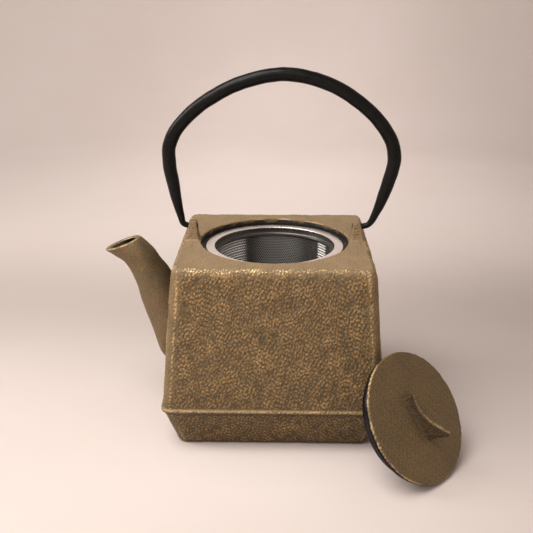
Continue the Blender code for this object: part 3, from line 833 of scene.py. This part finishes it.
def hexagon_sheet(name, centres, place, pitch):
    """Perforated sheet: one hexagonal cell with a hexagonal hole round each centre."""
    spokes = np.radians(30 + 60 * np.arange(6))
    corner = np.column_stack([np.cos(spokes), np.sin(spokes)]) * pitch / math.sqrt(3)
    cells = centres[:, None, None] + np.stack([corner, corner * MESH_HOLE])
    flat = cells.reshape(-1, 2)
    _, first, back = np.unique(np.round(flat / (0.02 * MM)).astype(int), axis=0,
                               return_index=True, return_inverse=True)
    back = back.reshape(len(centres), 2, 6)
    quads = [np.stack([back[:, 0, k], back[:, 0, (k + 1) % 6], back[:, 1, (k + 1) % 6], back[:, 1, k]],
                      axis=-1) for k in range(6)]
    return mesh_object(name, place(flat[first]), np.concatenate(quads).tolist())


def lattice(rows, columns, pitch):
    """Centres of cells in staggered rows."""
    return np.array([((i + 0.5 * (j % 2)) * pitch, j * pitch * math.sqrt(3) / 2)
                     for j in rows for i in columns])


def infuser_rim():
    """Flange, rounded lip and collar pressed from one sheet, with painted shade inside the collar."""
    top, collar_z, outer_r = RIM_HIGH.z, RIM_LOW.z, RIM_HIGH.x
    step_r, under = SLEEVE_R - 1.2 * MM, top - 1.0 * MM
    profile = (arc((outer_r - 0.45 * MM, top - 0.5 * MM), 0.45 * MM, -60, 90, 9)
               + arc((COLLAR_LIP_R + 0.35 * MM, top - 0.35 * MM), 0.35 * MM, 90, 250, 9)
               + [(COLLAR_R - 0.1 * MM, top - 0.9 * MM), (COLLAR_R, top - 1.6 * MM)]
               + arc((COLLAR_R - 0.5 * MM, collar_z + 1.0 * MM), 0.5 * MM, 0, -90, 5)
               + [(step_r, collar_z + SHEET), (step_r, collar_z), (COLLAR_R, collar_z)]
               + [(COLLAR_R + SHEET, collar_z + 0.4 * MM), (COLLAR_R + SHEET, under),
                  (outer_r - 1.2 * MM, under), (outer_r - 0.9 * MM, under + 0.15 * MM)])[::-1]
    # Painted shade inside the collar, under the flange.
    collar_shade = [0.9 * (radius < COLLAR_R + 0.1 * MM and z < top - 0.8 * MM) for radius, z in profile]
    rim = turned("infuser_rim_steel", profile, RIM_COLUMNS, {"collar_shade": np.repeat(collar_shade, RIM_COLUMNS)})
    sharpen(rim, 40)
    return rim


def infuser_sleeve():
    """Perforated sheet rolled into a tube from the hem up to the collar."""
    around = round(2 * math.pi * SLEEVE_R / MESH_PITCH)
    pitch = 2 * math.pi * SLEEVE_R / around
    foot, radius = HEM_HIGH.z, SLEEVE_R - 0.25 * MM
    rows = int((RIM_LOW.z - foot) / (pitch * math.sqrt(3) / 2)) + 1

    def rolled(flat):
        angle = flat[:, 0] / SLEEVE_R
        return np.column_stack([radius * np.cos(angle), radius * np.sin(angle), foot + flat[:, 1]])

    sleeve = hexagon_sheet("infuser_sleeve_mesh", lattice(range(rows), range(around), pitch), rolled, pitch)
    weld(sleeve)
    return sleeve


def infuser_base():
    """Disc of the same sheet that closes the bottom."""
    reach = SLEEVE_R - 1.0 * MM
    count = int(reach / MESH_PITCH) + 2
    centres = lattice(range(-count, count), range(-count, count), MESH_PITCH)
    centres = centres[np.hypot(*centres.T) < reach]
    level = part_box("infuser_mesh_base")[0].z + 0.2 * MM
    return hexagon_sheet("infuser_base_mesh", centres,
                         lambda flat: np.column_stack([flat, np.full(len(flat), level)]), MESH_PITCH)


def infuser_hem():
    """Pressed ring that holds the sleeve and the base together."""
    low, high = HEM_LOW.z, HEM_HIGH.z
    profile = ([(SLEEVE_R - SHEET, high), (SLEEVE_R - 0.1 * MM, high), (SLEEVE_R, high - 0.15 * MM)]
               + arc((SLEEVE_R - 0.8 * MM, low + 0.8 * MM), 0.8 * MM, 0, -90, 6)
               + [(SLEEVE_R - 3.2 * MM, low), (SLEEVE_R - 3.2 * MM, low + 0.4 * MM)]
               + arc((SLEEVE_R - 1.0 * MM, low + 0.9 * MM), 0.5 * MM, -90, 0, 4))
    hem = turned("infuser_hem_steel", profile, HEM_COLUMNS)
    sharpen(hem, 40)
    return hem


def thicken(sheet):
    """Gives a perforated sheet its thickness."""
    thick = sheet.modifiers.new("sheet", "SOLIDIFY")
    thick.thickness = MESH_SHEET
    thick.offset = 0.0
    bake_modifiers(sheet)
    sheet.data.shade_flat()


def infuser():
    """The lift-out basket: rim, mesh sleeve, mesh base and hem."""
    steel, wire = polished_steel("polished_steel"), mesh_steel("mesh_steel")
    rim, sleeve, base = infuser_rim(), infuser_sleeve(), infuser_base()
    for sheet in (sleeve, base):
        painted_highlights(sheet)
        thicken(sheet)
    hem = infuser_hem()
    for piece, node, mat, slot in ((rim, "infuser_rim", steel, "infuser_steel"),
                                   (sleeve, "infuser_mesh_sleeve", wire, "infuser_mesh"),
                                   (hem, "infuser_hem_ring", steel, "infuser_steel"),
                                   (base, "infuser_mesh_base", wire, "infuser_mesh")):
        piece.data.materials.append(mat)
        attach(piece, "infuser")
        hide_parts(node)


BACK_HIGHLIGHT = (86.0, 24.0)     # the same for the plain painted highlight


def painted_highlights(obj):
    """Masks of painted light on the mesh: striped painted reflections at its left and right, a plain painted
    highlight at the back.
    """
    striped = obj.data.attributes.new("painted_highlights", "FLOAT", "POINT")
    plain = obj.data.attributes.new("back_highlight", "FLOAT", "POINT")
    middle, spread = BACK_HIGHLIGHT
    for vert, value, sheen in zip(obj.data.vertices, striped.data, plain.data):
        bearing = math.degrees(math.atan2(vert.co.y, vert.co.x))
        patch = max(math.exp(-((bearing - side) / reach) ** 8) for side, reach in STRIPED_HIGHLIGHTS)
        value.value = patch
        sheen.value = 0.8 * math.exp(-((bearing - middle) / spread) ** 4)


# ---- lid ----
LID_R = 34.0 * MM
LID_PLATE = 1.5 * MM
LID_BAND_R = 33.5 * MM               # band below the plate, then the spigot below the band
LID_BAND = 4.0 * MM
SPIGOT_R = 29.6 * MM
SPIGOT_DEPTH = 9.6 * MM
SPIGOT_WALL = 3.4 * MM
KNOB_TURN = math.radians(-80.6)      # the fin's direction on the lid, from its level line
# Ridge of the fin: (distance along it, height above the lid).
KNOB_RIDGE = [(-11.6, 5.4), (-9.4, 4.3), (-6.1, 3.6), (-2.7, 3.5), (1.2, 4.4), (4.2, 5.8), (7.1, 7.7),
              (9.8, 10.1), (11.9, 12.0), (13.3, 12.7), (14.0, 12.3), (14.2, 11.2)]
KNOB_FOOT = (-11.8 * MM, 24.6 * MM)  # where the fin's foot starts along it, and its length
KNOB_LEVELS = np.linspace(0, 1, 40)


def lid_matrix():
    """Lid frame: X level across the lid, Y up its slope, Z out of its front face."""
    facing = Vector(joint("lid_lift")["axis"]).normalized()
    low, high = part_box("lid_plate")
    level = Vector((0, 0, 1)).cross(facing).normalized()
    turn = Matrix((level, facing.cross(level), facing)).transposed().to_4x4()
    return Matrix.Translation((low + high) / 2 + facing * LID_PLATE / 2) @ turn


def lid_plate():
    """Grained plate, worn to gold round its rim, with painted shade along the fin."""
    profile = [(r, 0.0) for r in np.linspace(0.6 * MM, LID_R - 1.0 * MM, 84)]
    profile += arc((LID_R - 0.7 * MM, -0.7 * MM), 0.7 * MM, 80, 0, 7)
    profile += arc((LID_R - 0.5 * MM, 0.5 * MM - LID_PLATE), 0.5 * MM, 0, -90, 5)
    profile += [(r, -LID_PLATE) for r in np.linspace(LID_R - 1.5 * MM, 2.0 * MM, 8)]
    radius, level = np.array(profile).T[..., None]
    points = revolved(profile, 400)
    grain = ripples(points, GRAIN_LENGTH, 41)
    slow = ripples(points, 11 * MM, 42)
    broken = ripples(points, 1.6 * MM, 43)
    front = (level > -LID_PLATE + 0.1 * MM) * 1.0
    edge = bump(LID_R, 0.9 * MM, radius) * front
    lift = (GRAIN_HEIGHT * grain + 0.05 * MM * slow + 0.07 * MM * broken * edge) * front
    points = points - grid_normals(points) * lift[..., None]
    wear = 0.6 * bump(LID_R, 0.35 * MM, radius) * smoothstep(-1.0, 1.2, broken + 0.8 * slow)
    masks = {"relief": np.clip(0.30 + 0.13 * grain, 0, 1), "enamel": (1 - front) * np.ones_like(slow),
             "wear": wear * front, "painted_shade_and_darkening": 0.7 * fin_foot_shade(points) * front}
    piece = skin("lid_casting", points, masks)
    flip(piece)
    return piece


def fin_foot_shade(points):
    """Mask of painted shade on the strip of the plate along the fin's foot."""
    fin = np.array([math.cos(KNOB_TURN), math.sin(KNOB_TURN)])
    along, off = points[..., :2] @ fin, points[..., :2] @ np.array([-fin[1], fin[0]])
    return bump(0.0, 4.5 * MM, off) * smoothstep(16 * MM, 8 * MM, np.abs(along))


def knob_section(along, height, where):
    """Section across the fin: up one side, over the crown and down the other."""
    taper = math.sqrt(max(0.0, 1 - (2 * where - 1) ** 8))
    foot_along = KNOB_FOOT[0] + KNOB_FOOT[1] * where
    near = []
    for level in KNOB_LEVELS:
        spread = 1.4 * (1 - level) ** 1.5 + 1.15 + 1.3 * math.exp(-level * height / (0.6 * MM))
        x = foot_along + (along - foot_along) * level ** 1.3
        near.append((x, spread * MM * (0.72 + 0.28 * taper), height * level - 0.4 * MM * (1 - level)))
    x, half, z = near[-1]
    crown = [(x, half * math.cos(t), z + 0.5 * half * math.sin(t)) for t in np.linspace(0, math.pi, 9)[1:-1]]
    return near + crown + [(x, -half, z) for x, half, z in reversed(near)]


def lid_knob():
    """Saddle-shaped fin: sections across it, thick and flared at the foot, thin along the ridge."""
    ridge = smooth_path(KNOB_RIDGE, 90) * MM
    start, end = ridge[0, 0], ridge[-1, 0]
    points = np.array([knob_section(along, height, (along - start) / (end - start))
                       for along, height in ridge])
    grain = ripples(points, GRAIN_LENGTH, 51)
    slow = ripples(points, 3.5 * MM, 52)
    points = points + grid_normals(points) * (GRAIN_HEIGHT * grain + 0.03 * MM * slow)[..., None]
    column = np.arange(points.shape[1])
    crest = bump(len(KNOB_LEVELS) + 3, 1.6, column)[None]
    wear = 0.5 * crest * smoothstep(-1.2, 0.9, grain + 0.4 * slow)
    # Painted shade on the fin's sides, everywhere except the crest.
    masks = {"relief": np.clip(0.28 + 0.13 * grain, 0, 1), "enamel": np.zeros_like(slow), "wear": wear,
             "painted_shade_and_darkening": 0.9 * (1 - crest) * np.ones_like(slow)}
    piece = skin("lid_fin", points, masks)
    flip(piece)
    piece.data.transform(Matrix.Rotation(KNOB_TURN, 4, "Z"))
    return piece


def lid_ring():
    """Enamelled band and spigot below the plate."""
    bore = SPIGOT_R - SPIGOT_WALL
    profile = ([(bore, -LID_PLATE), (LID_BAND_R - 0.3 * MM, -LID_PLATE), (LID_BAND_R, -LID_PLATE - 0.3 * MM)]
               + arc((LID_BAND_R - 0.5 * MM, -LID_BAND + 0.5 * MM), 0.5 * MM, 0, -90, 5)
               + arc((SPIGOT_R + 0.6 * MM, -LID_BAND - 0.6 * MM), 0.6 * MM, 90, 180, 5)
               + arc((SPIGOT_R - 0.8 * MM, -SPIGOT_DEPTH + 0.8 * MM), 0.8 * MM, 0, -90, 6)
               + arc((bore + 0.8 * MM, -SPIGOT_DEPTH + 0.8 * MM), 0.8 * MM, -90, -180, 6))
    ring = turned("lid_enamel_ring", profile, 240)
    flip(ring)
    return ring


def lid():
    """The lid where it leans: plate, fin and enamelled ring."""
    pose = lid_matrix()
    plate, knob, ring = lid_plate(), lid_knob(), lid_ring()
    # A darker copy of the bronze for painted shade on the lid.
    bronze, black = cast_iron("cast_bronze_lid", 0.78), enamel_black("black_enamel")
    for piece, node, mat, slot in ((plate, "lid_plate", bronze, "lid_iron"),
                                   (knob, "lid_knob", bronze, "lid_iron"),
                                   (ring, "lid_locating_ring", black, "lid_enamel")):
        piece.data.transform(pose)
        piece.data.materials.append(mat)
        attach(piece, "lid")
        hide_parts(node)


# ---- studio ----
CAMERA_PLACE = (0.0038, -0.4606, 0.2458)
CAMERA_TURN = (70.651, -0.08, 1.069)       # degrees
CAMERA_LENS = 57.93
SENSOR = 36.0
# Name, place, size and power in watts of the soft lights, all aimed at the middle of the pot.
SOFT_LIGHTS = [("overhead", (-0.40, -0.30, 1.0), (0.8, 0.7), 13.0),
               ("left", (-0.95, -0.05, 0.70), (0.4, 0.5), 5.6),
               ("front", (-0.1, -1.0, 0.75), (0.9, 0.6), 2.5)]
LIGHT_COLOUR = (1.0, 0.95, 0.91)
SURROUND_COLOUR = (1.0, 0.93, 0.88)
SURROUND_STRENGTH = 0.30
COVE_FLOOR_R, COVE_BEND_R, COVE_WALL_R, COVE_TOP = 0.8, 0.35, 1.15, 1.7
# The cove's colours in painted shade and in painted light.
SWEEP_DARK, SWEEP_PALE = (0.18, 0.145, 0.125), (0.86, 0.775, 0.735)
SWEEP_CLOUD = (1.04, 1.05, 1.06)           # what its paler clouds add


def sweep_paint(name):
    """Matt paint of the cove, from dark to pale by its painted light and shade, faintly clouded."""
    n = Nodes(name)
    cloud = n.noise(5.0, 4.0)
    colour = n.mix(n.mask("painted_light_tone"), SWEEP_DARK, SWEEP_PALE)
    colour = n.mix(n.remap(cloud, 0.3, 0.7), colour, n.mix(1.0, colour, SWEEP_CLOUD, "MULTIPLY"))
    return n.finish(Base_Color=colour, Roughness=0.75)


def cove():
    """Floor that bends up into a round wall, paler behind the pot in painted light and darker beside it in
    painted shade.
    """
    profile = (spaced((0.02, 0.0), (COVE_FLOOR_R, 0.0), 0.04)
               + arc((COVE_FLOOR_R, COVE_BEND_R), COVE_BEND_R, -90, 0, 12)
               + spaced((COVE_WALL_R, COVE_BEND_R + 0.05), (COVE_WALL_R, COVE_TOP), 0.2))
    points = revolved(profile, 120)
    x, y = points[..., 0], points[..., 1]
    # Painted light: a pool behind the pot.
    glow = bump(0.02, 0.26, x) * bump(0.66, 0.42, y)
    # Painted shade: bands across the floor and the far right darker.
    far_right = smoothstep(0.5, 1.0, y) * smoothstep(0.1, 0.45, x)
    dim = 0.27 * bump(0.15, 0.12, y) + 0.12 * bump(0.45, 0.25, y) + 0.12 * far_right
    # Painted shadow to the right of the pot.
    dim += 0.16 * bump(0.20, 0.14, x) * smoothstep(0.5, 0.0, y)
    # Painted light in front of the pot, paling its shadow.
    dim -= 0.07 * bump(-0.09, 0.04, y) * bump(0.0, 0.09, x)
    faces = grid_faces(*points.shape[:2], False)[:-1]
    sweep = mesh_object("studio_sweep", points.reshape(-1, 3), faces, {"painted_light_tone": 0.58 + 0.52 * glow - dim})
    sweep.data.materials.append(sweep_paint("pale_sweep"))


def studio():
    """Pale round cove, camera, soft lights and a warm surround."""
    cove()
    camera = bpy.data.objects.new("camera", bpy.data.cameras.new("camera"))
    camera.data.lens = CAMERA_LENS
    camera.data.sensor_width = SENSOR
    camera.location = CAMERA_PLACE
    camera.rotation_euler = [math.radians(angle) for angle in CAMERA_TURN]
    bpy.context.scene.collection.objects.link(camera)
    bpy.context.scene.camera = camera
    for light in SOFT_LIGHTS:
        softbox(*light)
    world = bpy.data.worlds.new("surround")
    world.use_nodes = True
    background = world.node_tree.nodes["Background"]
    background.inputs["Color"].default_value = (*SURROUND_COLOUR, 1.0)
    background.inputs["Strength"].default_value = SURROUND_STRENGTH
    bpy.context.scene.world = world
    bpy.context.scene.view_settings.view_transform = "Standard"


def softbox(name, place, size, power):
    """Rectangular light aimed at the middle of the pot."""
    light = bpy.data.lights.new(name, "AREA")
    light.shape = "RECTANGLE"
    light.size, light.size_y = size
    light.energy = power
    light.color = LIGHT_COLOUR
    obj = bpy.data.objects.new(name, light)
    obj.location = place
    aim = Vector((0, 0, 60 * MM)) - obj.location
    obj.rotation_euler = aim.to_track_quat("-Z", "Y").to_euler()
    bpy.context.scene.collection.objects.link(obj)


studio()
pot_casting()
spout()
lug("lug_left", -1)
lug("lug_right", 1)
handle()
infuser()
lid()
